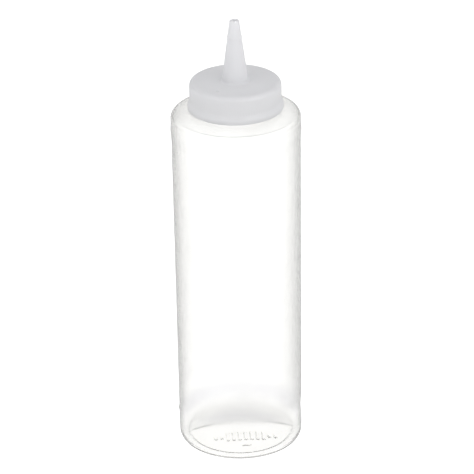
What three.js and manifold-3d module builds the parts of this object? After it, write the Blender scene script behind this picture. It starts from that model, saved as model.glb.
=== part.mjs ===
// A hand-squeezed condiment bottle in two mouldings: a blow-moulded bottle with a threaded neck,
// and a screw cap whose top carries an open cone nozzle. Millimetres, +Z up. The origin is the
// centre of the standing ring, so the bottle stands on z = 0.

import * as THREE from 'three';
import { mergeVertices } from 'three/addons/utils/BufferGeometryUtils.js';
import Module from 'manifold-3d';

// Driving dimensions of the bottle.
const BODY_TOP_RADIUS = 28.5;
const BODY_FOOT_RADIUS = 28.05;
const WALL = 1.0;
const NECK_RADIUS = 17.5;
const NECK_WALL = 1.2;
const NECK_TOP_Z = 173.1;
const RIM_ROUND = 0.35;

// A soft band stands out just under the shoulder, and the shoulder turns in over a tight corner.
const SHOULDER_Z = 157.8;
const SHOULDER_RADIUS = 28.7;
const SHOULDER_CORNER = 2.3;
const SHOULDER_RISE = 1.5;
const BAND_Z = 152.3;
const BAND_RADIUS = 28.85;
const BAND_FOOT_Z = 147.0;
const BAND_TOP_Z = 155.6;
const NECK_ROOT_BLEND = 1.4;

// Heel, standing ring and pushed-up base.
const HEEL_HEIGHT = 2.9;
const HEEL_INSET = 1.25;
const STANDING_RING_INNER = 24.0;
const PUSH_UP = 4.2;
const PUSH_UP_STEPS = 4;
const FLOOR = 1.3;
const INNER_HEEL_RADIUS = 1.6;
const INNER_HEEL_HEIGHT = 1.9;

// Neck thread: one start, six turns to the inch.
const PITCH = 25.4 / 6;
const THREAD_TURNS = 1.2;
const NECK_THREAD_CREST = NECK_RADIUS + 1.0;
const NECK_THREAD_RADIUS = 1.15;
const NECK_THREAD_START_Z = 171.4;
const NECK_THREAD_SINK = 0.9;
const NECK_BEAD_Z = 164.2;
const NECK_BEAD_OUT = 0.9;
const NECK_BEAD_HALF = 1.0;

// Driving dimensions of the cap.
const CAP_BOTTOM_Z = 162.55;
const CAP_TOP_Z = 175.0;
const SKIRT_RADIUS = 20.25;
const FLANGE_RADIUS = 21.1;
const FLANGE_HEIGHT = 1.3;
const FLANGE_BLEND = 3.2;
const CAP_CORNER = 2.2;
const CAP_EDGE = 0.25;
const CAP_INNER_RADIUS = 19.3;
const CAP_INNER_CHAMFER = 0.5;
const CAP_CEILING_Z = NECK_TOP_Z + 0.4;
const THREAD_CLEARANCE = 0.3;
const CAP_THREAD_CREST = NECK_THREAD_CREST + THREAD_CLEARANCE;
const CAP_THREAD_RADIUS = 0.9;
const CAP_THREAD_SINK = 0.7;

// The plug ring hangs from the cap's ceiling into the neck.
const PLUG_CLEARANCE = 0.35;
const PLUG_OUTER_RADIUS = NECK_RADIUS - NECK_WALL - PLUG_CLEARANCE;
const PLUG_WALL = 0.9;
const PLUG_DEPTH = 2.6;
const PLUG_TAPER = 0.15;
const PLUG_LEAD_IN = 0.6;

// Cone nozzle and its bore.
const NOZZLE_TOP_Z = 203.2;
const NOZZLE_BASE_RADIUS = 5.68;
const NOZZLE_TIP_RADIUS = 2.15;
const NOZZLE_FILLET = 1.3;
const TIP_ROUND = 0.3;
const BORE_BASE_RADIUS = 4.5;
const BORE_TIP_RADIUS = 0.8;
const BORE_TIP_LENGTH = 3.0;
const BORE_MOUTH_LENGTH = 1.4;
const BORE_MOUTH_TAPER = 0.3;

// Facets.
const ROUND = 64;
const ARC_STEPS = 4;
const THREAD_STEPS_PER_TURN = 40;
const THREAD_SIDES = 10;
const THREAD_RUN_OUT = 0.12;
const TRIM_MARGIN = 5.0;

const wasm = await Module();
wasm.setup();

const bottlePlastic = new THREE.MeshStandardMaterial({
  color: 0xf1f2f1,
  roughness: 0.38,
  metalness: 0,
  transparent: true,
  opacity: 0.4,
});

const capPlastic = new THREE.MeshStandardMaterial({
  color: 0xdcdcde,
  roughness: 0.45,
  metalness: 0,
  transparent: true,
  opacity: 0.85,
});

// Points on an elliptical arc from angle a0 to a1, in degrees, counted from +r towards +z.
function arc(r, z, rr, rz, a0, a1, steps = ARC_STEPS) {
  const points = [];
  for (let i = 0; i <= steps; i += 1) {
    const a = THREE.MathUtils.degToRad(a0 + ((a1 - a0) * i) / steps);
    points.push([r + rr * Math.cos(a), z + rz * Math.sin(a)]);
  }
  return points;
}

// A closed outline turned about Z. LatheGeometry turns about Y, so it is laid over afterwards.
function turned(outline) {
  const points = [...outline, outline[0]].map(([r, z]) => new THREE.Vector2(r, z));
  const geometry = new THREE.LatheGeometry(points, ROUND);
  geometry.rotateX(Math.PI / 2);
  return geometry;
}

function toSolid(geometry) {
  const bare = geometry.clone();
  bare.deleteAttribute('normal');
  bare.deleteAttribute('uv');
  const merged = mergeVertices(bare, 1e-5);
  const solid = new wasm.Manifold(new wasm.Mesh({
    numProp: 3,
    vertProperties: new Float32Array(merged.attributes.position.array),
    triVerts: new Uint32Array(merged.index.array),
  }));
  return solid;
}

function toMesh(name, solid, material) {
  const { vertProperties, triVerts } = solid.getMesh();
  const geometry = new THREE.BufferGeometry();
  geometry.setAttribute('position', new THREE.BufferAttribute(new Float32Array(vertProperties), 3));
  geometry.setIndex(new THREE.BufferAttribute(new Uint32Array(triVerts), 1));
  geometry.computeVertexNormals();
  const mesh = new THREE.Mesh(geometry, material);
  mesh.name = name;
  return mesh;
}

// The centre line of a thread. It runs down from its start, and at both ends it sinks into the
// wall that carries it, by `sink` towards `+1` (outwards) or `-1` (inwards).
class ThreadPath extends THREE.Curve {
  constructor(radius, topZ, turns, sink) {
    super();
    this.radius = radius;
    this.topZ = topZ;
    this.turns = turns;
    this.sink = sink;
  }

  getPoint(t, target = new THREE.Vector3()) {
    const fromEnd = Math.min(t, 1 - t) / THREAD_RUN_OUT;
    const fade = fromEnd < 1 ? (1 - fromEnd) ** 2 : 0;
    const angle = -2 * Math.PI * this.turns * t;
    const radius = this.radius + this.sink * fade;
    return target.set(
      radius * Math.cos(angle),
      radius * Math.sin(angle),
      this.topZ - PITCH * this.turns * t,
    );
  }
}

// A round-crested thread ridge swept along its path.
function threadRidge(path, ridgeRadius) {
  const section = new THREE.Shape();
  for (let i = 0; i < THREAD_SIDES; i += 1) {
    const a = (2 * Math.PI * i) / THREAD_SIDES;
    const x = ridgeRadius * Math.cos(a);
    const y = ridgeRadius * Math.sin(a);
    if (i === 0) {
      section.moveTo(x, y);
    } else {
      section.lineTo(x, y);
    }
  }
  section.closePath();
  return new THREE.ExtrudeGeometry(section, {
    steps: Math.round(THREAD_STEPS_PER_TURN * path.turns),
    bevelEnabled: false,
    extrudePath: path,
  });
}

// The dome of the pushed-up base, from its rim to its centre, with its rim at height z.
function pushUp(z) {
  const points = [];
  for (let i = 1; i <= PUSH_UP_STEPS; i += 1) {
    const share = 1 - i / PUSH_UP_STEPS;
    points.push([STANDING_RING_INNER * share, z + PUSH_UP * (1 - share ** 2)]);
  }
  return points;
}

// The bottle's outline: up the outside from the standing ring to the neck's rim, back down the
// inside to the floor, and round the dome of the base.
function bottleOutline() {
  const neckRootZ = SHOULDER_Z + SHOULDER_CORNER + SHOULDER_RISE;
  const innerFoot = BODY_FOOT_RADIUS - WALL;
  const innerTop = BODY_TOP_RADIUS - WALL;
  const innerCorner = SHOULDER_CORNER - WALL / 2;
  const bore = NECK_RADIUS - NECK_WALL;
  const rimZ = NECK_TOP_Z - RIM_ROUND;
  return [
    [STANDING_RING_INNER, 0],
    ...arc(BODY_FOOT_RADIUS - HEEL_INSET, HEEL_HEIGHT, HEEL_INSET, HEEL_HEIGHT, -90, 0),
    [BODY_TOP_RADIUS, BAND_FOOT_Z],
    [BAND_RADIUS, BAND_Z],
    [SHOULDER_RADIUS, BAND_TOP_Z],
    ...arc(SHOULDER_RADIUS - SHOULDER_CORNER, SHOULDER_Z, SHOULDER_CORNER, SHOULDER_CORNER, 0, 82),
    ...arc(NECK_RADIUS + NECK_ROOT_BLEND, neckRootZ + NECK_ROOT_BLEND / 2,
      NECK_ROOT_BLEND, NECK_ROOT_BLEND, 255, 215, 2),
    ...arc(NECK_RADIUS, NECK_BEAD_Z, NECK_BEAD_OUT, NECK_BEAD_HALF, -80, 80, 4),
    ...arc(NECK_RADIUS - RIM_ROUND, rimZ, RIM_ROUND, RIM_ROUND, 0, 90, 2),
    ...arc(bore + RIM_ROUND, rimZ, RIM_ROUND, RIM_ROUND, 90, 180, 2),
    [bore, neckRootZ],
    [bore + NECK_ROOT_BLEND, neckRootZ - NECK_ROOT_BLEND],
    ...arc(innerTop - innerCorner, SHOULDER_Z - WALL / 2, innerCorner, innerCorner, 84, 0),
    ...arc(innerFoot - INNER_HEEL_RADIUS, FLOOR + INNER_HEEL_HEIGHT,
      INNER_HEEL_RADIUS, INNER_HEEL_HEIGHT, 0, -90, 3),
    [STANDING_RING_INNER, FLOOR],
    ...pushUp(FLOOR),
    ...pushUp(0).reverse(),
  ];
}

// The cap's outline: round the outside from the flange to the nozzle's tip, and back down through
// the bore and the plug ring to the inside of the skirt.
function capOutline() {
  const flangeTopZ = CAP_BOTTOM_Z + FLANGE_HEIGHT;
  const coneFootZ = CAP_TOP_Z + NOZZLE_FILLET;
  const plugInner = PLUG_OUTER_RADIUS - PLUG_WALL;
  const plugZ = CAP_CEILING_Z - PLUG_DEPTH;
  return [
    [CAP_INNER_RADIUS + CAP_EDGE, CAP_BOTTOM_Z],
    [FLANGE_RADIUS - CAP_EDGE, CAP_BOTTOM_Z],
    [FLANGE_RADIUS, CAP_BOTTOM_Z + CAP_EDGE],
    [FLANGE_RADIUS, flangeTopZ],
    [SKIRT_RADIUS, flangeTopZ + FLANGE_BLEND],
    ...arc(SKIRT_RADIUS - CAP_CORNER, CAP_TOP_Z - CAP_CORNER, CAP_CORNER, CAP_CORNER, 0, 90, 5),
    ...arc(NOZZLE_BASE_RADIUS + NOZZLE_FILLET, coneFootZ, NOZZLE_FILLET, NOZZLE_FILLET, 270, 184),
    ...arc(NOZZLE_TIP_RADIUS - TIP_ROUND, NOZZLE_TOP_Z - TIP_ROUND, TIP_ROUND, TIP_ROUND, 6, 90, 2),
    [BORE_TIP_RADIUS, NOZZLE_TOP_Z],
    [BORE_TIP_RADIUS, NOZZLE_TOP_Z - BORE_TIP_LENGTH],
    [BORE_BASE_RADIUS - BORE_MOUTH_TAPER, CAP_CEILING_Z + BORE_MOUTH_LENGTH],
    [BORE_BASE_RADIUS, CAP_CEILING_Z],
    [plugInner, CAP_CEILING_Z],
    [plugInner + PLUG_TAPER, plugZ],
    [PLUG_OUTER_RADIUS - PLUG_CLEARANCE, plugZ],
    [PLUG_OUTER_RADIUS, plugZ + PLUG_LEAD_IN],
    [PLUG_OUTER_RADIUS, CAP_CEILING_Z],
    [CAP_INNER_RADIUS - CAP_INNER_CHAMFER, CAP_CEILING_Z],
    [CAP_INNER_RADIUS, CAP_CEILING_Z - CAP_INNER_CHAMFER],
    [CAP_INNER_RADIUS, CAP_BOTTOM_Z + CAP_EDGE],
  ];
}

function buildBottle() {
  const path = new ThreadPath(
    NECK_THREAD_CREST - NECK_THREAD_RADIUS,
    NECK_THREAD_START_Z,
    THREAD_TURNS,
    -NECK_THREAD_SINK,
  );
  const body = toSolid(turned(bottleOutline()));
  const bore = toSolid(turned([
    [0, SHOULDER_Z],
    [NECK_RADIUS - NECK_WALL, SHOULDER_Z],
    [NECK_RADIUS - NECK_WALL, NECK_TOP_Z + TRIM_MARGIN],
    [0, NECK_TOP_Z + TRIM_MARGIN],
  ]));
  const thread = toSolid(threadRidge(path, NECK_THREAD_RADIUS)).subtract(bore);
  return toMesh('squeeze_bottle', body.add(thread), bottlePlastic);
}

function buildCap() {
  const path = new ThreadPath(
    CAP_THREAD_CREST + CAP_THREAD_RADIUS,
    NECK_THREAD_START_Z - PITCH / 2,
    THREAD_TURNS,
    CAP_THREAD_SINK,
  );
  const shell = toSolid(turned(capOutline()));
  const withinSkirt = (CAP_INNER_RADIUS + SKIRT_RADIUS) / 2;
  const cavity = toSolid(turned([
    [0, CAP_BOTTOM_Z - TRIM_MARGIN],
    [withinSkirt, CAP_BOTTOM_Z - TRIM_MARGIN],
    [withinSkirt, CAP_CEILING_Z],
    [0, CAP_CEILING_Z],
  ]));
  const thread = toSolid(threadRidge(path, CAP_THREAD_RADIUS)).intersect(cavity);
  return toMesh('cone_tip_cap', shell.add(thread), capPlastic);
}

const group = new THREE.Group();
group.add(buildBottle());
group.add(buildCap());

export default group;
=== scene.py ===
"""A hand-squeezed condiment bottle: a frosted blow-moulded bottle and a screw cap with a cone nozzle.

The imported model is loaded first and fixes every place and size. The two mouldings are then turned
again as fine, smooth-walled shells, with the threads, ribs, beads and mould marks that the plain
model leaves out, and each gets its own translucent polyethylene. All lengths are in metres.
"""

from __future__ import annotations

import logging
import math
from dataclasses import dataclass, field
from enum import Enum

import bmesh
import bpy
from bpy.types import Material, Node, NodeSocket, Object
from mathutils import Matrix, Vector


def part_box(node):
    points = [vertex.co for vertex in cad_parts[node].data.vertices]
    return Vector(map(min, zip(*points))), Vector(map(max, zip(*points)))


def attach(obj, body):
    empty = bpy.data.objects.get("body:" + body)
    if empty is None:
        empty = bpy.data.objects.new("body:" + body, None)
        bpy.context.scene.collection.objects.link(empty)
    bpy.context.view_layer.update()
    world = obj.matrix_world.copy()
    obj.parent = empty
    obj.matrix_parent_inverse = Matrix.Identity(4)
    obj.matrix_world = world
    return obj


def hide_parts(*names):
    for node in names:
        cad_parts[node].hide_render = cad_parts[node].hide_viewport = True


LOG = logging.getLogger("squeeze_bottle")
MM = 0.001
THREAD_PITCH = 25.4 * MM / 6
THREAD_START = 1.7 * MM
TOUCH = 0.01 * MM

Point = tuple[float, float]
Colour = tuple[float, float, float]

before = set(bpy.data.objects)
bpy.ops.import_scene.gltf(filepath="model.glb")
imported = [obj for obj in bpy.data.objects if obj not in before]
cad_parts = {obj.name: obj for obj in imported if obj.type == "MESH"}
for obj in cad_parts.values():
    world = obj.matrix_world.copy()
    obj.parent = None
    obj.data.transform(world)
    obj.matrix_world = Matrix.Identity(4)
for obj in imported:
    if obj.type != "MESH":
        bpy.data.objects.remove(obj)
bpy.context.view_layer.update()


# ---------------------------------------------------------------------------------------------
# Outlines and turning
# ---------------------------------------------------------------------------------------------


def arc(centre: Point, radii: Point, start: float, stop: float, steps: int) -> list[Point]:
    """Points on an elliptical arc.

    Args:
        centre: The arc's centre, as radius and height.
        radii: Its half sizes along radius and height.
        start: The first angle in degrees, counted from outwards towards up.
        stop: The last angle in degrees.
        steps: How many chords it has.

    Returns:
        The points from start to stop, both ends included.
    """
    angles = (math.radians(start + (stop - start) * i / steps) for i in range(steps + 1))
    return [(centre[0] + radii[0] * math.cos(a), centre[1] + radii[1] * math.sin(a)) for a in angles]


def ramp(first: Point, last: Point, steps: int) -> list[Point]:
    """Evenly spaced points on a straight stretch.

    Args:
        first: Where the stretch starts.
        last: Where it ends.
        steps: How many chords it has.

    Returns:
        The points from first to last, both ends included.
    """
    shares = (i / steps for i in range(steps + 1))
    return [tuple(a + (b - a) * s for a, b in zip(first, last)) for s in shares]


def smooth(share: float) -> float:
    """Eases 0 to 1 with no slope at either end, and holds outside."""
    t = min(max(share, 0.0), 1.0)
    return t * t * (3.0 - 2.0 * t)


def hump(offset: float, flat: float, foot: float) -> float:
    """Height of a rounded ridge, 1 out to flat and 0 from foot, at an offset from its middle."""
    return 1.0 - smooth((abs(offset) - flat) / (foot - flat))


def inset(outline: list[Point], depth: float) -> list[Point]:
    """Moves an outline sideways, so that a wall of even thickness lies between the two.

    Args:
        outline: The outline, going up the outside.
        depth: The wall's thickness.

    Returns:
        The inner outline, in the same order.
    """
    before = [outline[0], *outline[:-1]]
    after = [*outline[1:], outline[-1]]
    moved: list[Point] = []
    for (radius, height), first, last in zip(outline, before, after):
        run = last[0] - first[0]
        rise = last[1] - first[1]
        length = math.hypot(run, rise)
        moved.append((radius - depth * rise / length, height + depth * run / length))
    return moved


def turn(outline: list[Point], segments: int, closed: bool) -> bmesh.types.BMesh:
    """Spins an outline about the object's axis.

    Args:
        outline: Points of radius and height.
        segments: How many steps make the full turn.
        closed: Whether the last point joins the first. Otherwise both lie on the axis.

    Returns:
        One closed mesh with its faces pointing out.
    """
    mesh = bmesh.new()
    verts = [mesh.verts.new((radius, 0.0, height)) for radius, height in outline]
    ends = list(zip(verts, verts[1:]))
    if closed:
        ends.append((verts[-1], verts[0]))
    edges = [mesh.edges.new(pair) for pair in ends]
    bmesh.ops.spin(
        mesh,
        geom=verts + edges,
        cent=(0.0, 0.0, 0.0),
        axis=(0.0, 0.0, 1.0),
        dvec=(0.0, 0.0, 0.0),
        angle=math.tau,
        steps=segments,
        use_merge=True,
        use_normal_flip=False,
        use_duplicate=False,
    )
    bmesh.ops.remove_doubles(mesh, verts=mesh.verts, dist=1e-7)
    bmesh.ops.recalc_face_normals(mesh, faces=mesh.faces)
    return mesh


def finish_piece(name: str, mesh: bmesh.types.BMesh, material: Material) -> Object:
    """Puts a finished mesh into the scene as a smooth-shaded object at the origin.

    Args:
        name: The piece's name.
        mesh: The mesh, already in its place. It is freed.
        material: The piece's one material.

    Returns:
        The new object.
    """
    data = bpy.data.meshes.new(name)
    mesh.to_mesh(data)
    mesh.free()
    data.shade_smooth()
    data.materials.append(material)
    piece = bpy.data.objects.new(name, data)
    bpy.context.scene.collection.objects.link(piece)
    return piece


class Side(Enum):
    """Which way a thread stands off the wall that carries it."""

    OUTWARDS = 1
    INWARDS = -1


@dataclass(frozen=True)
class Thread:
    """A right-hand thread that is raised from a turned wall.

    Attributes:
        top: Height of its centre line where it starts, on +X.
        height: How far its crest stands off the wall.
        side: Which way it stands off.
        pitch: Its rise in a full turn.
        turns: Its length in turns.
        crest: Half the width of its flat crest.
        foot: Half the width of its foot.
        fade: The turns over which each end runs out into the wall.
    """

    top: float
    height: float
    side: Side
    pitch: float = THREAD_PITCH
    turns: float = 1.2
    crest: float = 0.35 * MM
    foot: float = 1.25 * MM
    fade: float = 0.09

    def offset(self, angle: float, height: float) -> float:
        """Radial offset of the wall.

        Args:
            angle: The angle about the axis, in radians.
            height: The height of the point on the plain wall.

        Returns:
            How far the point moves outwards, negative for inwards.
        """
        most = 0.0
        turned = (angle % math.tau) / math.tau
        for whole in range(math.ceil(self.turns) + 1):
            run = whole - turned
            if 0.0 <= run <= self.turns:
                ends = smooth(min(run, self.turns - run) / self.fade)
                centre = self.top - self.pitch * run
                most = max(most, ends * hump(height - centre, self.crest, self.foot))
        return self.side.value * self.height * most


# ---------------------------------------------------------------------------------------------
# Finishes
# ---------------------------------------------------------------------------------------------


class Recipe:
    """A material's node tree, with short calls to add and join nodes."""

    def __init__(self, name: str) -> None:
        """Starts an empty material."""
        self.material = bpy.data.materials.new(name)
        self.material.use_nodes = True
        self.tree = self.material.node_tree
        self.tree.nodes.clear()
        self.output = self.tree.nodes.new("ShaderNodeOutputMaterial")

    def add(self, kind: str, **settings: object) -> Node:
        """Adds a node and sets its properties.

        Args:
            kind: The node's type.
            settings: Properties by name.

        Returns:
            The new node.
        """
        node = self.tree.nodes.new(kind)
        for name, value in settings.items():
            setattr(node, name, value)
        return node

    def join(self, source: NodeSocket, target: NodeSocket) -> None:
        """Links one socket to another."""
        self.tree.links.new(source, target)

    def pattern(self, scale: Colour, detail: float) -> NodeSocket:
        """Makes a noise that is stretched along the object's own axes.

        Args:
            scale: Its frequency along X, Y and Z, per metre.
            detail: Its octaves.

        Returns:
            Its value, about 0 to 1.
        """
        place = self.add("ShaderNodeTexCoord")
        stretch = self.add("ShaderNodeMapping")
        stretch.inputs["Scale"].default_value = scale
        noise = self.add("ShaderNodeTexNoise")
        noise.inputs["Scale"].default_value = 1.0
        noise.inputs["Detail"].default_value = detail
        self.join(place.outputs["Object"], stretch.inputs["Vector"])
        self.join(stretch.outputs["Vector"], noise.inputs["Vector"])
        return noise.outputs["Fac"]

    def spread(self, value: NodeSocket, low: float, high: float) -> NodeSocket:
        """Maps a noise onto a range.

        Args:
            value: The noise.
            low: What its low end becomes.
            high: What its high end becomes.

        Returns:
            The mapped value.
        """
        mapping = self.add("ShaderNodeMapRange")
        mapping.inputs["From Min"].default_value = 0.3
        mapping.inputs["From Max"].default_value = 0.7
        mapping.inputs["To Min"].default_value = low
        mapping.inputs["To Max"].default_value = high
        self.join(value, mapping.inputs["Value"])
        return mapping.outputs["Result"]

    def step(self, value: NodeSocket, start: float, stop: float) -> NodeSocket:
        """Makes a soft edge.

        Args:
            value: What it follows.
            start: Where it starts to rise.
            stop: Where it is up.

        Returns:
            0 before start, 1 past stop.
        """
        edge = self.add("ShaderNodeMapRange", interpolation_type="SMOOTHSTEP")
        edge.inputs["From Min"].default_value = start
        edge.inputs["From Max"].default_value = stop
        self.join(value, edge.inputs["Value"])
        return edge.outputs["Result"]

    def bump(self, height: NodeSocket, depth: float, under: NodeSocket | None = None) -> NodeSocket:
        """Adds a fine relief.

        Args:
            height: The relief, 0 to 1.
            depth: Its depth in metres.
            under: A relief that it lies on.

        Returns:
            The bent normal.
        """
        node = self.add("ShaderNodeBump")
        node.inputs["Strength"].default_value = 1.0
        node.inputs["Distance"].default_value = depth
        self.join(height, node.inputs["Height"])
        if under is not None:
            self.join(under, node.inputs["Normal"])
        return node.outputs["Normal"]


@dataclass(frozen=True)
class BottlePolyethylene:
    """Natural low-density polyethylene, blown thin: nearly clear, with a soft haze.

    Attributes:
        colour: The tint of what passes through one skin.
        painted_shade_colour: Painted shade: a darker grey low on the back wall, on +Y, standing in for
            the shadow seen through the foot.
        painted_shade_back: Distance from the axis, along Y, where that painted shade is full.
        painted_shade_foot: Height where the painted shade is full, just under the top of the pushed-up
            base.
        painted_shade_top: Height where the painted shade starts to fade.
        painted_shade_blend: The height over which the painted shade fades.
        roughness: Least and most roughness of the blown skin.
        foot_roughness: Roughness of the polished foot.
        foot_top: Height where the polished foot ends.
        foot_blend: The height over which it turns into the blown skin.
        haze: The share of light that the wall scatters instead of passing.
        absorption: How much light a metre of it takes.
        tint: The colour that its depth turns to.
        ior: Its index of refraction.
    """

    colour: Colour = (0.98, 0.98, 0.975)
    painted_shade_colour: Colour = (0.83, 0.83, 0.85)
    painted_shade_back: float = 6.0 * MM
    painted_shade_foot: float = 4.0 * MM
    painted_shade_top: float = 10.4 * MM
    painted_shade_blend: float = 4.0 * MM
    roughness: Point = (0.18, 0.26)
    foot_roughness: float = 0.12
    foot_top: float = 14.0 * MM
    foot_blend: float = 8.0 * MM
    haze: float = 0.01
    absorption: float = 18.0
    tint: Colour = (0.5, 0.4, 0.1)
    ior: float = 1.51

    def build(self) -> Material:
        """Makes the material."""
        recipe = Recipe("bottle_polyethylene")
        place = recipe.add("ShaderNodeTexCoord")
        parts = recipe.add("ShaderNodeSeparateXYZ")
        recipe.join(place.outputs["Object"], parts.inputs["Vector"])
        shader = recipe.add("ShaderNodeBsdfPrincipled")
        shader.inputs["Transmission Weight"].default_value = 1.0 - self.haze
        shader.inputs["IOR"].default_value = self.ior
        # Painted shade: the base colour turns a darker grey low on the back wall (+Y), standing in for
        # the shadow seen through the foot.
        tone = recipe.add("ShaderNodeMixRGB")
        tone.inputs["Color1"].default_value = (*self.colour, 1.0)
        tone.inputs["Color2"].default_value = (*self.painted_shade_colour, 1.0)
        height = parts.outputs["Z"]
        painted_shade_mask = recipe.add("ShaderNodeMath", operation="MULTIPLY")
        rising = recipe.step(height, self.painted_shade_foot - self.painted_shade_blend / 2, self.painted_shade_foot)
        falling = recipe.step(height, self.painted_shade_top + self.painted_shade_blend, self.painted_shade_top)
        behind = recipe.step(parts.outputs["Y"], -self.painted_shade_back, self.painted_shade_back)
        back = recipe.add("ShaderNodeMath", operation="MULTIPLY")
        recipe.join(rising, back.inputs[0])
        recipe.join(behind, back.inputs[1])
        recipe.join(back.outputs["Value"], painted_shade_mask.inputs[0])
        recipe.join(falling, painted_shade_mask.inputs[1])
        recipe.join(painted_shade_mask.outputs["Value"], tone.inputs["Fac"])
        recipe.join(tone.outputs["Color"], shader.inputs["Base Color"])
        flow = recipe.pattern((60.0, 60.0, 7.0), 3.0)
        skin = recipe.add("ShaderNodeMix")
        skin.inputs["A"].default_value = self.foot_roughness
        recipe.join(recipe.spread(flow, *self.roughness), skin.inputs["B"])
        blown = recipe.step(height, self.foot_top, self.foot_top + self.foot_blend)
        recipe.join(blown, skin.inputs["Factor"])
        recipe.join(skin.outputs["Result"], shader.inputs["Roughness"])
        peel = recipe.pattern((700.0, 700.0, 420.0), 2.0)
        draw = recipe.pattern((160.0, 160.0, 9.0), 2.0)
        drawn = recipe.bump(draw, 0.004 * MM)
        recipe.join(recipe.bump(peel, 0.004 * MM, drawn), shader.inputs["Normal"])
        depth = recipe.add("ShaderNodeVolumeAbsorption")
        depth.inputs["Color"].default_value = (*self.tint, 1.0)
        depth.inputs["Density"].default_value = self.absorption
        recipe.join(shader.outputs["BSDF"], recipe.output.inputs["Surface"])
        recipe.join(depth.outputs["Volume"], recipe.output.inputs["Volume"])
        return recipe.material


@dataclass(frozen=True)
class CapPolyethylene:
    """The cap's thicker, cloudy polyethylene, with a moulded satin skin.

    Attributes:
        colour: The colour of the lit plastic.
        roughness: Least and most roughness of the skin.
        clearness: The share of light that passes instead of scattering.
        depth: How far light spreads under the skin.
        ior: Its index of refraction.
    """

    colour: Colour = (0.85, 0.85, 0.87)
    roughness: Point = (0.34, 0.46)
    clearness: float = 0.15
    depth: float = 3.0 * MM
    ior: float = 1.51

    def build(self) -> Material:
        """Makes the material."""
        recipe = Recipe("cap_polyethylene")
        shader = recipe.add("ShaderNodeBsdfPrincipled")
        shader.inputs["Base Color"].default_value = (*self.colour, 1.0)
        shader.inputs["Transmission Weight"].default_value = self.clearness
        shader.inputs["Subsurface Weight"].default_value = 0.6
        shader.inputs["Subsurface Radius"].default_value = (1.0, 1.0, 1.0)
        shader.inputs["Subsurface Scale"].default_value = self.depth
        shader.inputs["IOR"].default_value = self.ior
        cloud = recipe.pattern((180.0, 180.0, 180.0), 3.0)
        recipe.join(recipe.spread(cloud, *self.roughness), shader.inputs["Roughness"])
        grain = recipe.pattern((1500.0, 1500.0, 1500.0), 2.0)
        recipe.join(recipe.bump(grain, 0.006 * MM), shader.inputs["Normal"])
        recipe.join(shader.outputs["BSDF"], recipe.output.inputs["Surface"])
        return recipe.material


@dataclass(frozen=True)
class PaleFloor:
    """A pale backlit table: matt on top, with a glow that is met directly or through the bottle.

    Attributes:
        colour: Its colour.
        glow: The light that comes up through it.
        passed: The share of the glow that is seen through the bottle.
        mirrored: The share that shows in reflections.
        bounced: The share that lights matt surfaces.
    """

    colour: Colour = (0.3, 0.3, 0.3)
    glow: float = 1.05
    passed: float = 0.64
    mirrored: float = 0.4
    bounced: float = 0.8

    def build(self) -> Material:
        """Makes the material."""
        recipe = Recipe("pale_floor")
        shader = recipe.add("ShaderNodeBsdfPrincipled")
        shader.inputs["Base Color"].default_value = (*self.colour, 1.0)
        shader.inputs["Roughness"].default_value = 0.9
        shader.inputs["Specular IOR Level"].default_value = 0.0
        shader.inputs["Emission Color"].default_value = (1.0, 1.0, 1.0, 1.0)
        path = recipe.add("ShaderNodeLightPath")
        total = path.outputs["Is Camera Ray"]
        shares = {
            "Is Transmission Ray": self.passed,
            "Is Glossy Ray": self.mirrored,
            "Is Diffuse Ray": self.bounced,
        }
        for ray, share in shares.items():
            part = recipe.add("ShaderNodeMath", operation="MULTIPLY_ADD")
            part.inputs[1].default_value = share
            recipe.join(path.outputs[ray], part.inputs[0])
            recipe.join(total, part.inputs[2])
            total = part.outputs["Value"]
        glow = recipe.add("ShaderNodeMath", operation="MULTIPLY")
        glow.inputs[1].default_value = self.glow
        recipe.join(total, glow.inputs[0])
        recipe.join(glow.outputs["Value"], shader.inputs["Emission Strength"])
        recipe.join(shader.outputs["BSDF"], recipe.output.inputs["Surface"])
        recipe.material.cycles.emission_sampling = "NONE"
        return recipe.material


# ---------------------------------------------------------------------------------------------
# The bottle
# ---------------------------------------------------------------------------------------------


@dataclass(frozen=True)
class MouldMarks:
    """A plain row of raised bars and a dash, where a blow mould carries its marks.

    Attributes:
        centre: The row's middle, along the pinched line and off it.
        pitch: From bar to bar.
        tall_bars: How many bars beside the middle one are tall.
        bars: How many bars there are beside the middle one.
        half_width: Half the width of a bar.
        tall_half: Half the length of a tall bar.
        short_half: Half the length of a short bar.
        dash_off: From the row to the dash in front of it.
        dash_half: Half the length of the dash.
        edge: The width of their sloping sides.
        out: How far they stand out.
    """

    centre: Point = (1.4 * MM, -10.7 * MM)
    pitch: float = 2.7 * MM
    tall_bars: int = 3
    bars: int = 5
    half_width: float = 0.5 * MM
    tall_half: float = 2.9 * MM
    short_half: float = 1.2 * MM
    dash_off: float = -6.4 * MM
    dash_half: float = 1.9 * MM
    edge: float = 0.3 * MM
    out: float = 0.3 * MM

    def block(self, across: float, ahead: float, half_across: float, half_ahead: float) -> float:
        """Makes one flat block with sloping sides.

        Args:
            across: The place across the block, from its middle.
            ahead: The place along it, from its middle.
            half_across: Half its width.
            half_ahead: Half its length.

        Returns:
            1 on top of it, 0 around it.
        """
        sides = hump(across, half_across, half_across + self.edge)
        return sides * hump(ahead, half_ahead, half_ahead + self.edge)

    def relief(self, along: float, off: float) -> float:
        """How far the marks stand out.

        Args:
            along: The place along the pinched line.
            off: The place off it.

        Returns:
            The relief, 0 beside the marks.
        """
        across, ahead = along - self.centre[0], off - self.centre[1]
        index = round(across / self.pitch)
        half = self.tall_half if abs(index) <= self.tall_bars else self.short_half
        bar = self.block(across - index * self.pitch, ahead, self.half_width, half)
        if abs(index) > self.bars:
            bar = 0.0
        dash = self.block(across, ahead - self.dash_off, self.dash_half, self.half_width)
        return self.out * max(bar, dash)


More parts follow.
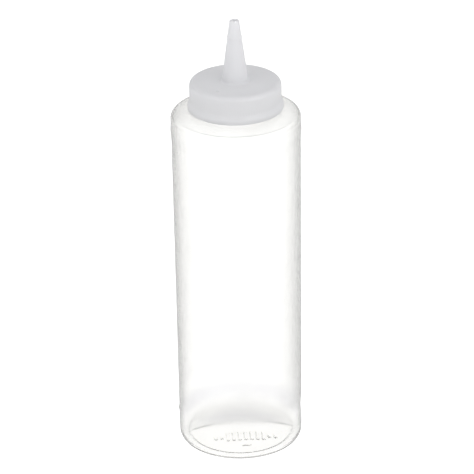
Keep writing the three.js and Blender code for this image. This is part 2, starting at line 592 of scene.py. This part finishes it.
@dataclass
class PushedUpBase:
    """The base between the standing ring's two edges: a shallow roof with a welded ridge.

    The two halves of a blow mould pinch the tube shut along a line across the base, and push each
    side of that line up into a slope.

    Attributes:
        radius: Inner edge of the standing ring, where the base starts to rise.
        height: Its greatest height.
        tilt: How far the pinched line is turned from X, in degrees.
        ridge: Half the width of the rounded ridge.
        weld_out: How far the weld stands proud of the ridge.
        weld_half: Half the width of the weld.
        weld_fade: How far from the standing ring the weld runs out.
        groove: Depth of the groove beside the standing ring.
        groove_half: Half the width of the groove.
        marks: The raised marks in front of the weld.
    """

    radius: float = 24.0 * MM
    height: float = 4.2 * MM
    tilt: float = 4.0
    ridge: float = 0.9 * MM
    weld_out: float = 0.35 * MM
    weld_half: float = 0.8 * MM
    weld_fade: float = 4.0 * MM
    groove: float = 0.3 * MM
    groove_half: float = 0.55 * MM
    marks: MouldMarks = field(default_factory=MouldMarks)

    def turned(self, x: float, y: float) -> Point:
        """A place as its distances along the pinched line and off it."""
        tilt = math.radians(self.tilt)
        return x * math.cos(tilt) + y * math.sin(tilt), y * math.cos(tilt) - x * math.sin(tilt)

    def rise(self, x: float, y: float) -> float:
        """Height of the base over the standing ring.

        Args:
            x: The place across the bottle.
            y: The place along it.

        Returns:
            The height, 0 outside the ring's inner edge.
        """
        along, off = self.turned(x, y)
        chord = math.sqrt(max(self.radius**2 - along**2, 1e-12))
        slope = math.hypot(off, self.ridge) - self.ridge
        share = max(1.0 - slope / chord, 0.0)
        return self.height * (chord / self.radius) ** 1.5 * share

    def relief(self, x: float, y: float) -> float:
        """How far the underside stands below the plain base.

        Args:
            x: The place across the bottle.
            y: The place along it.

        Returns:
            The weld's and the marks' relief, negative in the groove.
        """
        along, off = self.turned(x, y)
        from_ring = self.radius - math.hypot(x, y)
        weld = self.weld_out * smooth(from_ring / self.weld_fade) * hump(off, 0.0, self.weld_half)
        groove = self.groove * hump(from_ring - self.groove_half, 0.0, self.groove_half)
        return weld + self.marks.relief(along, off) - groove


@dataclass
class SqueezeBottle:
    """The blow-moulded bottle: pushed-up base, heel, body, shoulder and threaded neck.

    Attributes:
        band_radius: Radius of the soft band under the shoulder, the bottle's greatest.
        neck_top: Height of the neck's rim.
        segments: Steps round the bottle.
        band_out: How far the band stands out from the body.
        band_foot: From the band down to where it leaves the body.
        band_head: From the band up to where the shoulder's edge starts.
        shoulder_out: How far the shoulder's edge stands out from the body.
        draft: How much narrower the foot is than the body's top, in radius.
        wall: The wall's thickness.
        shoulder_drop: From the rim down to where the shoulder's corner starts.
        band_drop: From the rim down to the band.
        bead_drop: From the rim down to the neck's bead.
        corner: Radius of the shoulder's corner.
        shoulder_rise: Rise of the shoulder from its corner to the neck.
        neck_radius: Outer radius of the neck.
        neck_wall: Thickness of the neck.
        neck_bead: How far the neck's bead stands out.
        root_round: Radius of the fillet at the neck's root.
        rim_round: Radius of the rim's edges.
        heel_height: Height of the rounded heel.
        heel_inset: How far the heel draws in.
        floor: The base's thickness.
        seam_out: How far the mould's parting line stands out, on +X and -X.
        nub_out: How far the nub on the parting line stands out, on -X.
        nub_height: Height of that nub.
        dent: Depth of the soft dent low on +X.
        dent_height: Height of that dent.
        base: The pushed-up base.
        finish: The bottle's plastic.
    """

    band_radius: float
    neck_top: float
    segments: int = 256
    band_out: float = 0.35 * MM
    band_foot: float = 5.3 * MM
    band_head: float = 3.3 * MM
    shoulder_out: float = 0.20 * MM
    draft: float = 0.45 * MM
    wall: float = 0.75 * MM
    shoulder_drop: float = 15.3 * MM
    band_drop: float = 20.8 * MM
    bead_drop: float = 8.9 * MM
    corner: float = 2.3 * MM
    shoulder_rise: float = 1.5 * MM
    neck_radius: float = 17.5 * MM
    neck_wall: float = 1.2 * MM
    neck_bead: float = 0.9 * MM
    root_round: float = 0.9 * MM
    rim_round: float = 0.35 * MM
    heel_height: float = 2.9 * MM
    heel_inset: float = 1.25 * MM
    floor: float = 1.0 * MM
    seam_out: float = 0.04 * MM
    nub_out: float = 0.4 * MM
    nub_height: float = 12.4 * MM
    dent: float = 0.35 * MM
    dent_height: float = 13.5 * MM
    base: PushedUpBase = field(default_factory=PushedUpBase)
    finish: BottlePolyethylene = field(default_factory=BottlePolyethylene)

    @property
    def foot_radius(self) -> float:
        """Outer radius of the body just above the heel."""
        return self.band_radius - self.band_out - self.draft

    def skin(self) -> list[Point]:
        """The outer outline from the top of the heel up to the neck's root."""
        top = self.band_radius - self.band_out
        edge = top + self.shoulder_out
        band = self.neck_top - self.band_drop
        corner = (edge - self.corner, self.neck_top - self.shoulder_drop)
        root = corner[1] + self.corner + self.shoulder_rise
        slope = self.draft / (band - self.band_foot - self.heel_height)
        low = self.heel_height + 1.0 * MM
        by_nub = (self.nub_height + 0.4 * MM * i for i in range(-4, 5))
        steps = [low, 6.0 * MM, 8.5 * MM, *by_nub, 16.0 * MM, 19.0 * MM]
        points = [(self.foot_radius + slope * (height - self.heel_height), height) for height in steps]
        first = points.pop()
        points += ramp(first, (top, band - self.band_foot), 20)
        for i in range(1, 10):
            swell = self.band_out * smooth(i / 10)
            points.append((top + swell, band - self.band_foot * (1.0 - i / 10)))
        for i in range(7):
            fall = (self.band_radius - edge) * smooth(i / 6)
            points.append((self.band_radius - fall, band + self.band_head * i / 6))
        points += arc(corner, (self.corner, self.corner), 6, 80, 14)
        points += ramp(points[-1], (self.neck_radius + 1.6 * MM, root - 0.3 * MM), 9)[1:]
        fillet = (self.neck_radius + self.root_round, root + 0.75 * MM)
        points += arc(fillet, (self.root_round, self.root_round), 255, 185, 6)
        return points

    def outside(self) -> list[Point]:
        """The outline from under the base's centre up to the rim."""
        heel = (self.foot_radius - self.heel_inset, self.heel_height)
        bead = self.neck_top - self.bead_drop
        rim = (self.neck_radius - self.rim_round, self.neck_top - self.rim_round)
        points = ramp((0.0, 0.0), (self.base.radius - 0.3 * MM, 0.0), 84)
        points += ramp((self.base.radius, 0.0), (heel[0] - 0.2 * MM, 0.0), 4)
        points += arc(heel, (self.heel_inset, self.heel_height), -90, 0, 12)
        points += self.skin()
        points += arc((self.neck_radius, bead), (self.neck_bead, 1.0 * MM), -82, 82, 8)
        first = (self.neck_radius, bead + 1.2 * MM)
        points += ramp(first, (self.neck_radius, self.neck_top - 0.5 * MM), 40)
        points += arc(rim, (self.rim_round, self.rim_round), 15, 90, 4)
        return points

    def inside(self) -> list[Point]:
        """The outline from the rim down the inside to the floor's centre."""
        bore = self.neck_radius - self.neck_wall
        lip = (bore + self.rim_round, self.neck_top - self.rim_round)
        lining = inset(self.skin(), self.wall)
        heel = (self.foot_radius - self.wall - 0.8 * MM, self.floor + 2.4 * MM)
        points = arc(lip, (self.rim_round, self.rim_round), 90, 180, 4)
        points += ramp((bore, self.neck_top - 1.5 * MM), (bore, lining[-1][1] + 1.5 * MM), 6)
        points += lining[::-1]
        points += arc(heel, (0.8 * MM, 2.4 * MM), 0, -90, 10)
        points += ramp((self.base.radius + 1.4 * MM, self.floor), (self.base.radius, self.floor), 3)
        points += ramp((self.base.radius - 0.8 * MM, self.floor), (0.0, self.floor), 32)
        return points

    def thread(self) -> Thread:
        """The neck's thread."""
        return Thread(top=self.neck_top - THREAD_START, height=1.0 * MM, side=Side.OUTWARDS)

    def raise_thread(self, mesh: bmesh.types.BMesh) -> None:
        """Lifts the neck's outer wall into the thread."""
        thread = self.thread()
        low = self.neck_top - 8.0 * MM
        for vert in mesh.verts:
            radius = math.hypot(vert.co.x, vert.co.y)
            on_wall = abs(radius - self.neck_radius) < TOUCH and low < vert.co.z
            if on_wall:
                angle = math.atan2(vert.co.y, vert.co.x)
                grown = (radius + thread.offset(angle, vert.co.z)) / radius
                vert.co.x *= grown
                vert.co.y *= grown

    def push_up(self, mesh: bmesh.types.BMesh) -> None:
        """Raises the flat floor into the pushed-up base, with its weld and marks underneath."""
        for vert in mesh.verts:
            x, y, z = vert.co
            if z < 2.0 * self.floor and math.hypot(x, y) < self.base.radius:
                vert.co.z += self.base.rise(x, y)
                if z < self.floor / 2:
                    vert.co.z -= self.base.relief(x, y)

    def shape_body(self, mesh: bmesh.types.BMesh) -> None:
        """Raises the mould's parting line and its nub, and presses in the soft dent."""
        wall = self.foot_radius - 1.5 * self.wall
        outer = self.foot_radius - 0.1 * MM
        highest = self.neck_top - self.band_drop - self.band_foot
        for vert in mesh.verts:
            x, y, z = vert.co
            radius = math.hypot(x, y)
            if radius < wall or not self.heel_height < z < highest:
                continue
            move = 0.0
            if x > 0.0:
                pressed = self.dent * hump(z - self.dent_height, 1.0 * MM, 6.5 * MM)
                move -= pressed * hump(y, 1.5 * MM, 8.0 * MM)
            if radius > outer:
                move += self.seam_out * hump(y, 0.0, 0.6 * MM)
                if x < 0.0:
                    nub = hump(z - self.nub_height, 0.2 * MM, 1.0 * MM)
                    move += self.nub_out * nub * hump(y, 0.5 * MM, 1.6 * MM)
            vert.co.x *= (radius + move) / radius
            vert.co.y *= (radius + move) / radius

    def build(self) -> Object:
        """Makes the bottle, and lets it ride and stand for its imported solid."""
        mesh = turn(self.outside() + self.inside(), self.segments, closed=False)
        self.raise_thread(mesh)
        self.push_up(mesh)
        self.shape_body(mesh)
        piece = finish_piece("bottle_shell", mesh, self.finish.build())
        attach(piece, "bottle")
        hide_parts("squeeze_bottle")
        return piece


# ---------------------------------------------------------------------------------------------
# The cap
# ---------------------------------------------------------------------------------------------


@dataclass
class ConeTipCap:
    """The screw cap: ribbed skirt, flange, top disc, plug ring and cone nozzle.

    Attributes:
        bottom: Height of the flange's lower edge.
        tip: Height of the nozzle's tip.
        flange_radius: Radius of the flange.
        neck_top: Height of the bottle's rim, which the cap closes on.
        ribs: How many fine ribs the skirt has.
        steps_per_rib: Steps round the cap for each rib.
        rib_depth: Depth between the ribs.
        height: From the flange's lower edge to the top disc.
        flange_height: Height of the flange's straight edge.
        flange_out: How far the flange stands out from the skirt.
        flange_blend: The height over which it flares out.
        corner: Radius of the top disc's edge.
        inner_radius: Inner radius of the skirt.
        ceiling_gap: From the bottle's rim up to the cap's ceiling.
        plug_radius: Outer radius of the plug ring.
        plug_wall: Thickness of the plug ring.
        plug_depth: How far the plug ring hangs down.
        cone_radius: Radius of the nozzle at its foot.
        tip_radius: Radius of the nozzle at its tip.
        fillet: Radius of the fillet at the nozzle's foot.
        bore_radius: Radius of the bore at its foot.
        bore_tip: Radius of the bore at its tip.
        tip_round: Radius of the tip's edge.
        ring_height: Height of the fine ring near the tip.
        ring_out: How far that ring stands out.
        step_height: Height of the faint step on the nozzle, over the top disc.
        step_out: How far the nozzle is wider below that step.
        pit: Place of the small pit on the top disc, along X and Y.
        pit_radius: Radius of that pit.
        pit_depth: Depth of that pit.
        finish: The cap's plastic.
    """

    bottom: float
    tip: float
    flange_radius: float
    neck_top: float
    ribs: int = 104
    steps_per_rib: int = 4
    rib_depth: float = 0.035 * MM
    height: float = 12.45 * MM
    flange_height: float = 1.3 * MM
    flange_out: float = 0.85 * MM
    flange_blend: float = 3.2 * MM
    corner: float = 2.2 * MM
    inner_radius: float = 19.3 * MM
    ceiling_gap: float = 0.4 * MM
    plug_radius: float = 15.95 * MM
    plug_wall: float = 0.9 * MM
    plug_depth: float = 2.6 * MM
    cone_radius: float = 5.68 * MM
    tip_radius: float = 2.15 * MM
    fillet: float = 1.3 * MM
    bore_radius: float = 4.5 * MM
    bore_tip: float = 0.65 * MM
    tip_round: float = 0.5 * MM
    ring_height: float = 195.6 * MM
    ring_out: float = 0.2 * MM
    step_height: float = 5.2 * MM
    step_out: float = 0.07 * MM
    pit: Point = (-7.5 * MM, -12.0 * MM)
    pit_radius: float = 0.8 * MM
    pit_depth: float = 0.4 * MM
    finish: CapPolyethylene = field(default_factory=CapPolyethylene)

    def cone(self) -> list[Point]:
        """The nozzle's outline from above its fillet up to its tip."""
        top = self.bottom + self.height
        low = (self.cone_radius - 0.1 * MM, top + self.fillet + 0.6 * MM)
        high = (self.tip_radius + 0.06 * MM, self.tip - 0.7 * MM)
        points: list[Point] = []
        for radius, height in ramp(low, high, 56):
            ring = self.ring_out * hump(height - self.ring_height, 0.1 * MM, 0.7 * MM)
            step = self.step_out * (1.0 - smooth((height - top - self.step_height) / (0.5 * MM)))
            points.append((radius + ring + step, height))
        return points

    def outside(self) -> list[Point]:
        """The outline from the flange's lower edge up to the nozzle's tip."""
        skirt = self.flange_radius - self.flange_out
        top = self.bottom + self.height
        flange_top = self.bottom + self.flange_height
        edge = 0.25 * MM
        rim = self.flange_radius
        blend_top = flange_top + self.flange_blend
        turned_in = skirt - self.corner
        root = self.cone_radius + self.fillet
        pit_in = math.hypot(*self.pit) - self.pit_radius
        pit_out = math.hypot(*self.pit) + self.pit_radius
        points = arc((self.inner_radius + edge, self.bottom + edge), (edge, edge), 180, 270, 3)
        points += arc((rim - edge, self.bottom + edge), (edge, edge), -90, 0, 4)
        points += ramp((rim, self.bottom + 2.0 * edge), (rim, flange_top), 3)
        for i in range(1, 11):
            out = self.flange_out * (1.0 - smooth(i / 11))
            points.append((skirt + out, flange_top + self.flange_blend * i / 11))
        points += ramp((skirt, blend_top + 0.3 * MM), (skirt, top - self.corner - 0.3 * MM), 6)
        points += arc((turned_in, top - self.corner), (self.corner, self.corner), 0, 90, 12)
        points += ramp((turned_in - 0.8 * MM, top), (pit_out + 0.3 * MM, top), 3)
        points += ramp((pit_out, top), (pit_in, top), 8)
        points += ramp((pit_in - 0.3 * MM, top), (root + 0.6 * MM, top), 3)
        points += arc((root, top + self.fillet), (self.fillet, self.fillet), 270, 186, 8)
        points += self.cone()
        tip = (self.tip_radius - self.tip_round, self.tip - self.tip_round)
        points += arc(tip, (self.tip_round, self.tip_round), 0, 90, 6)
        return points

    def inside(self) -> list[Point]:
        """The outline from the tip down the bore, round the plug ring and down the skirt."""
        ceiling = self.neck_top + self.ceiling_gap
        plug = self.plug_radius
        plug_in = plug - self.plug_wall
        plug_low = ceiling - self.plug_depth
        wall = self.inner_radius
        mouth = 0.6 * MM
        low = self.bottom + 0.5 * MM
        points = arc((self.bore_tip + mouth, self.tip - mouth), (mouth, mouth), 90, 180, 4)
        foot = (self.bore_radius - 0.3 * MM, ceiling + 1.4 * MM)
        points += ramp((self.bore_tip, self.tip - 3.0 * MM), foot, 10)
        turned_out = (self.bore_radius + 0.4 * MM, ceiling + 0.6 * MM)
        points += arc(turned_out, (0.6 * MM, 0.6 * MM), 180, 270, 4)
        points += ramp((self.bore_radius + 1.0 * MM, ceiling), (plug_in - 0.4 * MM, ceiling), 4)
        points += ramp((plug_in, ceiling - 0.3 * MM), (plug_in + 0.15 * MM, plug_low + 0.2 * MM), 3)
        points += ramp((plug_in + 0.3 * MM, plug_low), (plug - 0.3 * MM, plug_low), 2)
        points += ramp((plug, plug_low + 0.6 * MM), (plug, ceiling - 0.3 * MM), 3)
        points += ramp((plug + 0.3 * MM, ceiling), (wall - 0.5 * MM, ceiling), 3)
        points += ramp((wall, ceiling - 0.5 * MM), (wall, low), 38)
        return points

    def thread(self) -> Thread:
        """The thread inside the skirt, half a pitch under the neck's."""
        top = self.neck_top - THREAD_START - THREAD_PITCH / 2
        return Thread(top=top, height=0.5 * MM, side=Side.INWARDS, foot=1.0 * MM)

    def shape_walls(self, mesh: bmesh.types.BMesh) -> None:
        """Cuts the ribs into the skirt and raises the thread inside it."""
        thread = self.thread()
        skirt = self.flange_radius - self.flange_out
        top = self.bottom + self.height
        rib_low = self.bottom + self.flange_height + 2.0 * MM
        rib_high = top - 0.6 * self.corner
        for vert in mesh.verts:
            radius = math.hypot(vert.co.x, vert.co.y)
            angle = math.atan2(vert.co.y, vert.co.x)
            move = 0.0
            if radius > self.inner_radius + 0.3 * MM and rib_low < vert.co.z < rib_high:
                ends = smooth((vert.co.z - rib_low) / (0.6 * MM))
                ends *= smooth((rib_high - vert.co.z) / (0.8 * MM))
                groove = 0.5 - 0.5 * math.cos(self.ribs * angle)
                outer = smooth((radius - skirt + 0.9 * MM) / (0.6 * MM))
                move = -self.rib_depth * ends * groove * outer
            elif abs(radius - self.inner_radius) < TOUCH:
                move = thread.offset(angle, vert.co.z)
            elif abs(vert.co.z - top) < TOUCH:
                away = math.hypot(vert.co.x - self.pit[0], vert.co.y - self.pit[1])
                vert.co.z -= self.pit_depth * hump(away, 0.15 * MM, self.pit_radius)
            if move:
                vert.co.x *= (radius + move) / radius
                vert.co.y *= (radius + move) / radius

    def build(self) -> Object:
        """Makes the cap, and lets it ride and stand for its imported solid."""
        mesh = turn(self.outside() + self.inside(), self.ribs * self.steps_per_rib, closed=True)
        self.shape_walls(mesh)
        piece = finish_piece("cap_shell", mesh, self.finish.build())
        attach(piece, "cap")
        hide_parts("cone_tip_cap")
        return piece


# ---------------------------------------------------------------------------------------------
# The studio
# ---------------------------------------------------------------------------------------------


@dataclass
class StudioCamera:
    """A long-lens camera that looks down on the bottle.

    Attributes:
        elevation: How far above the horizon it stands, in degrees.
        roll: How far it is turned about its own line of sight, in degrees.
        distance: From the lens to the point that it aims at.
        aim: That point.
        lens: Its focal length in millimetres.
        sensor: The width of its sensor in millimetres.
    """

    elevation: float = 25.935
    roll: float = -0.935
    distance: float = 1.2748
    aim: Colour = (-0.00032, 0.0, 0.09891)
    lens: float = 216.08354430379748
    sensor: float = 36.0

    def build(self) -> Object:
        """Makes the camera and hands it to the scene."""
        tilt = math.radians(self.elevation)
        roll = math.radians(self.roll)
        forward = Vector((0.0, math.cos(tilt), -math.sin(tilt)))
        right = Vector((1.0, 0.0, 0.0))
        up = right.cross(forward)
        across = right * math.cos(roll) + up * math.sin(roll)
        upright = up * math.cos(roll) - right * math.sin(roll)
        data = bpy.data.cameras.new("studio_camera")
        data.sensor_width = self.sensor
        data.lens = self.lens
        data.clip_start = 0.05
        data.clip_end = 60.0
        camera = bpy.data.objects.new("studio_camera", data)
        place = Matrix.Identity(4)
        for row in range(3):
            place[row][0] = across[row]
            place[row][1] = upright[row]
            place[row][2] = -forward[row]
            place[row][3] = self.aim[row] - forward[row] * self.distance
        camera.matrix_world = place
        bpy.context.scene.collection.objects.link(camera)
        bpy.context.scene.camera = camera
        return camera


@dataclass(frozen=True)
class Softbox:
    """A square soft lamp that looks at the bottle.

    Attributes:
        name: Its name.
        place: Where it hangs.
        size: Its side.
        radiance: How bright its face looks, where white paper in full light is 1.
    """

    name: str
    place: Colour
    size: float
    radiance: float

    def build(self) -> Object:
        """Makes the lamp."""
        data = bpy.data.lights.new(self.name, "AREA")
        data.shape = "SQUARE"
        data.size = self.size
        data.energy = self.radiance * math.pi * self.size**2
        lamp = bpy.data.objects.new(self.name, data)
        target = Vector((0.0, 0.0, 0.12))
        aim = (target - Vector(self.place)).to_track_quat("-Z", "Y")
        lamp.matrix_world = Matrix.Translation(self.place) @ aim.to_matrix().to_4x4()
        bpy.context.scene.collection.objects.link(lamp)
        return lamp


@dataclass
class Studio:
    """The plain pale floor, the world's soft light and the lamps.

    Attributes:
        floor_size: The floor's side.
        floor_gap: How far the floor lies below the standing ring, so that they never share a face.
        backdrop: How bright the white backdrop looks.
        horizon: Strength of the world's light at the floor's height.
        ring: Its greatest strength, at ring_height.
        zenith: Its strength straight overhead.
        ring_height: Height of the brightest ring, as the sine of its elevation.
        floor: The floor's finish.
        softboxes: The two lamps.
    """

    floor_size: float = 12.0
    floor_gap: float = 0.1 * MM
    backdrop: float = 1.1
    horizon: float = 0.45
    ring: float = 0.75
    zenith: float = 0.76
    ring_height: float = 0.4
    floor: PaleFloor = field(default_factory=PaleFloor)
    softboxes: tuple[Softbox, ...] = (
        Softbox("right_softbox", (1.2, -1.0, 0.8), 1.5, 1.05),
        Softbox("left_softbox", (-1.2, -0.9, 0.8), 1.4, 0.8),
    )

    def build_floor(self) -> Object:
        """Makes the floor that the bottle stands on."""
        mesh = bmesh.new()
        bmesh.ops.create_grid(mesh, x_segments=1, y_segments=1, size=self.floor_size / 2)
        bmesh.ops.translate(mesh, verts=mesh.verts, vec=(0.0, 0.0, -self.floor_gap))
        floor = finish_piece("studio_floor", mesh, self.floor.build())
        return floor

    def build_world(self) -> None:
        """Lights the scene from all round, in front of a white backdrop.

        The light is weak at the table's edge, strongest a third of the way up, and softer overhead.
        """
        world = bpy.data.worlds.new("studio_world")
        world.use_nodes = True
        tree = world.node_tree
        background = tree.nodes["Background"]
        background.inputs["Color"].default_value = (0.985, 0.99, 1.0, 1.0)
        place = tree.nodes.new("ShaderNodeTexCoord")
        parts = tree.nodes.new("ShaderNodeSeparateXYZ")
        rising = tree.nodes.new("ShaderNodeMapRange")
        rising.interpolation_type = "SMOOTHSTEP"
        rising.inputs["From Max"].default_value = self.ring_height
        rising.inputs["To Min"].default_value = self.horizon
        rising.inputs["To Max"].default_value = self.ring
        fading = tree.nodes.new("ShaderNodeMapRange")
        fading.inputs["From Min"].default_value = self.ring_height
        fading.inputs["To Min"].default_value = 1.0
        fading.inputs["To Max"].default_value = self.zenith / self.ring
        level = tree.nodes.new("ShaderNodeMath")
        level.operation = "MULTIPLY"
        path = tree.nodes.new("ShaderNodeLightPath")
        shown = tree.nodes.new("ShaderNodeMix")
        shown.inputs["B"].default_value = self.backdrop
        tree.links.new(place.outputs["Generated"], parts.inputs["Vector"])
        tree.links.new(parts.outputs["Z"], rising.inputs["Value"])
        tree.links.new(parts.outputs["Z"], fading.inputs["Value"])
        tree.links.new(rising.outputs["Result"], level.inputs[0])
        tree.links.new(fading.outputs["Result"], level.inputs[1])
        tree.links.new(path.outputs["Is Camera Ray"], shown.inputs["Factor"])
        tree.links.new(level.outputs["Value"], shown.inputs["A"])
        tree.links.new(shown.outputs["Result"], background.inputs["Strength"])
        bpy.context.scene.world = world

    def set_view(self) -> None:
        """Shows colours as they are, and lets light through all the skins of the bottle."""
        scene = bpy.context.scene
        scene.view_settings.view_transform = "Standard"
        scene.cycles.max_bounces = 24
        scene.cycles.transmission_bounces = 24

    def build(self) -> None:
        """Makes the whole studio."""
        self.build_floor()
        self.build_world()
        for softbox in self.softboxes:
            softbox.build()
        self.set_view()


def main() -> None:
    """Builds the camera, the two mouldings and the studio."""
    logging.basicConfig(level=logging.INFO, format="%(message)s")
    StudioCamera().build()
    bottle_low, bottle_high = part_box("squeeze_bottle")
    cap_low, cap_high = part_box("cone_tip_cap")
    bottle = SqueezeBottle(band_radius=bottle_high.x, neck_top=bottle_high.z)
    cap = ConeTipCap(bottom=cap_low.z, tip=cap_high.z, flange_radius=cap_high.x, neck_top=bottle_high.z)
    for piece in (bottle.build(), cap.build()):
        LOG.info("%s: %d faces", piece.name, len(piece.data.polygons))
    Studio().build()


if __name__ == "__main__":
    main()
